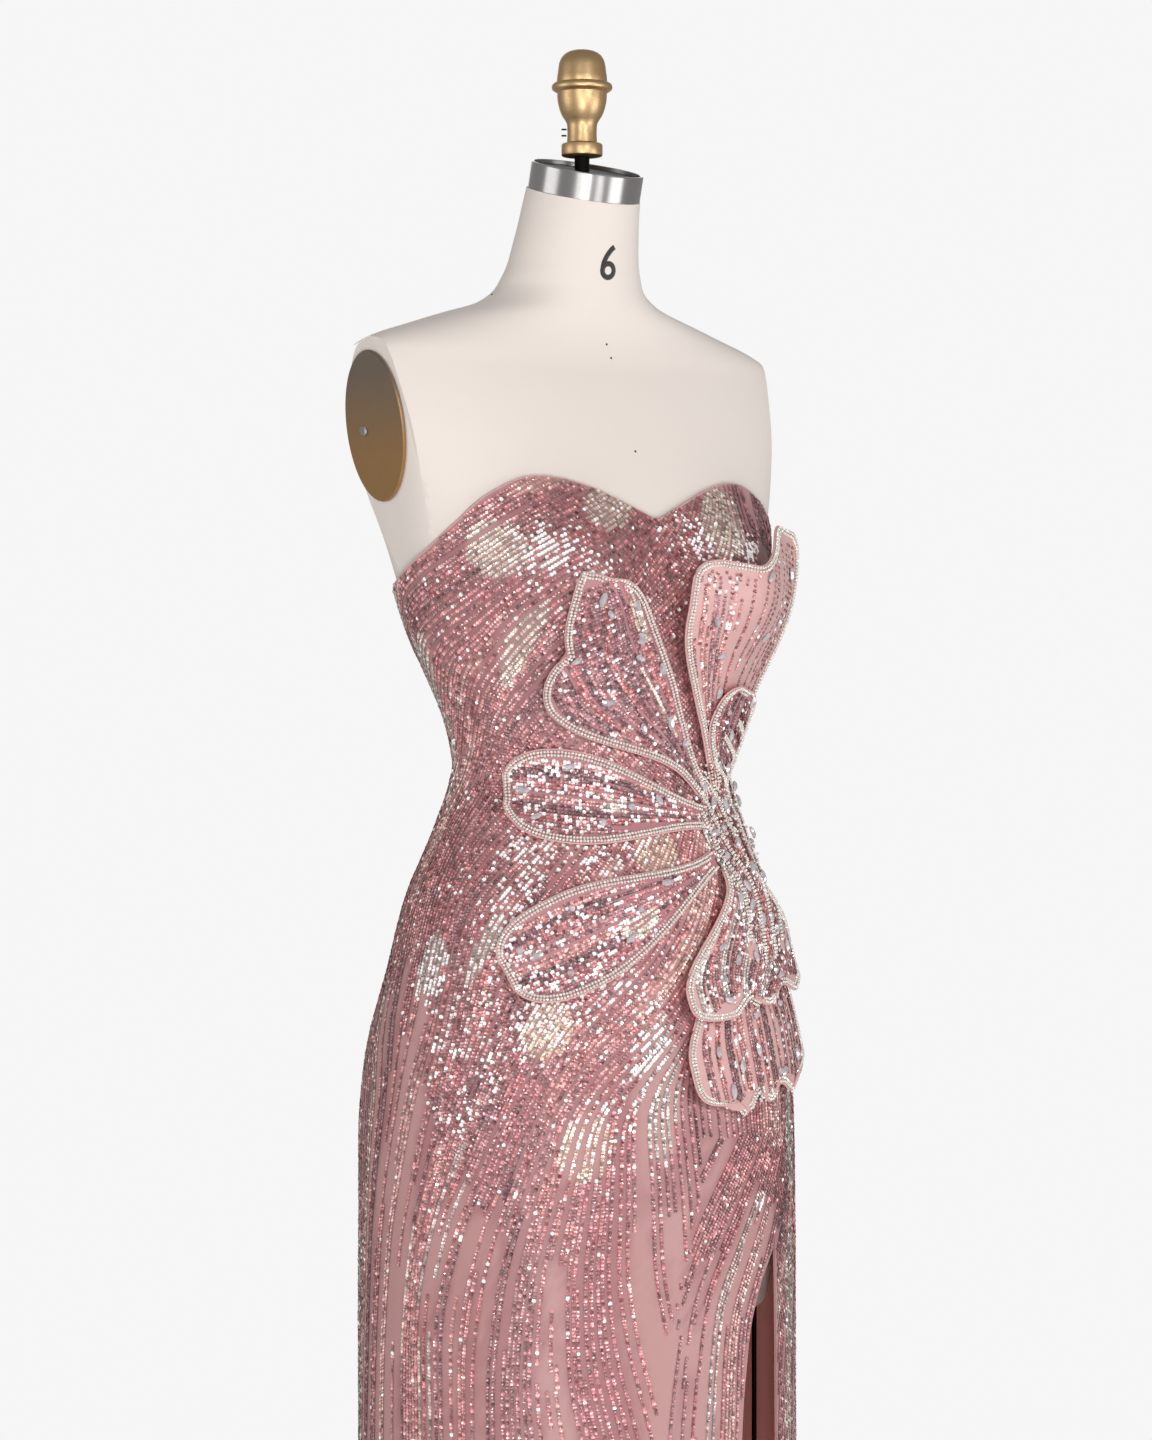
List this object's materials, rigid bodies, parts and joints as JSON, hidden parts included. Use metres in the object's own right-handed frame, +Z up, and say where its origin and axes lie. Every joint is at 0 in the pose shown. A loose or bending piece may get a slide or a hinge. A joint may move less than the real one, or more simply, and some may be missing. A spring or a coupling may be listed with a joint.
{
  "type": "evening gown on a limbless dress form",
  "caption": "Strapless sequinned evening gown with a side-front slit and a beaded flower of raised petals, worn by a limbless dress form on a round base.",
  "frame": {"origin": "on the floor, at the middle of the stand's round base", "axes": "+Z up, the front of the gown faces -Y, the wearer's left is +X"},
  "size_m": [0.4279, 0.3607, 1.6724],
  "materials": {
    "sequin_cloth": "rose satin under close rows of small round sequins",
    "petal_cloth": "pale pink satin petals with beaded edges, sequins and glass stones",
    "zip_tape": "woven zip tape, dyed to the gown",
    "form_cover": "cream cotton stretched over a hard shell",
    "neck_steel": "brushed stainless steel band and screws",
    "knob_gold": "gold hammered enamel on cast metal",
    "arm_bronze": "bronze-toned metal, brushed",
    "stand_black": "black enamel on steel"
  },
  "bodies": {
    "root": {"front_panel": "sequin_cloth", "side_front_left": "sequin_cloth", "back_left": "sequin_cloth", "back_right": "sequin_cloth", "zip": "zip_tape", "petal_upper_right": "petal_cloth", "petal_bust": "petal_cloth", "petal_small": "petal_cloth", "petal_waist": "petal_cloth", "petal_hip_right": "petal_cloth", "petal_hip_front": "petal_cloth", "petal_lowest": "petal_cloth", "form_torso": "form_cover", "arm_plate_left": "arm_bronze", "arm_plate_right": "arm_bronze", "arm_plate_screw_left": "neck_steel", "arm_plate_screw_right": "neck_steel", "neck_ring": "neck_steel", "neck_cap": "stand_black", "neck_rod": "stand_black", "knob_foot": "knob_gold", "knob_bowl": "knob_gold", "knob_dome": "knob_gold", "knob_pin_lower": "stand_black", "knob_pin_upper": "stand_black", "stand_base": "stand_black", "stand_socket": "stand_black", "stand_pole": "stand_black", "stand_flange": "stand_black", "cage_wire_1": "stand_black", "cage_wire_2": "stand_black", "cage_wire_3": "stand_black", "cage_wire_4": "stand_black", "cage_wire_5": "stand_black", "cage_wire_6": "stand_black", "cage_hoop": "stand_black"}
  },
  "joints": []
}
